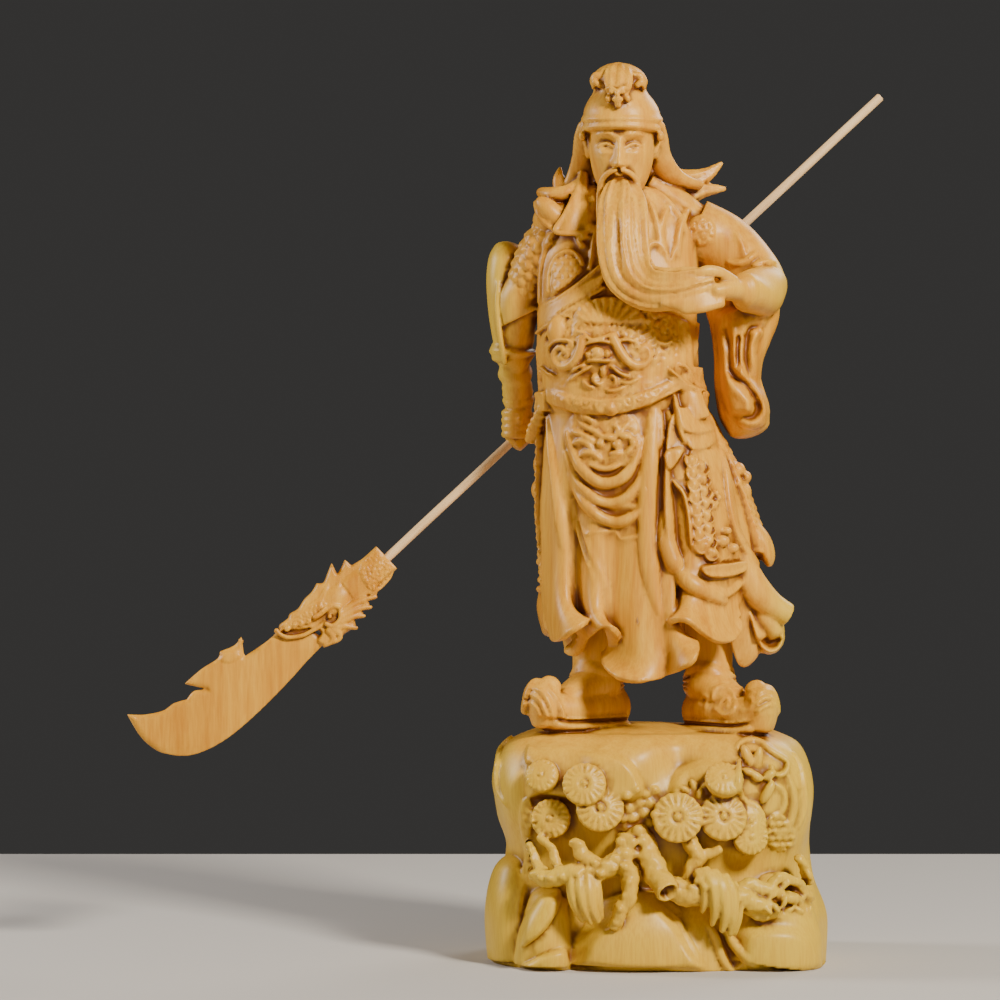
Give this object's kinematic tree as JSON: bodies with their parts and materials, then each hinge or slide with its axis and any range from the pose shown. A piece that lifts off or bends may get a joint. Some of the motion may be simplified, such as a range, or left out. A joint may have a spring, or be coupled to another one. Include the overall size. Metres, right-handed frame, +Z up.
{
  "type": "guan yu statue",
  "caption": "Carved boxwood figure of a bearded warrior in robe and armour on a rock with pine, a long glaive held behind the back.",
  "frame": {"origin": "centre of the rock's flat underside", "axes": "+Z up, +X towards the figure's left hand, +Y towards the figure's back"},
  "size_m": [0.2566, 0.0958, 0.2962],
  "materials": {
    "boxwood": "satin, polished",
    "rod_wood": "smooth, unpolished"
  },
  "bodies": {
    "root": {"figure_on_rock": "boxwood", "glaive_blade": "boxwood", "glaive_shaft": "rod_wood"}
  },
  "joints": []
}
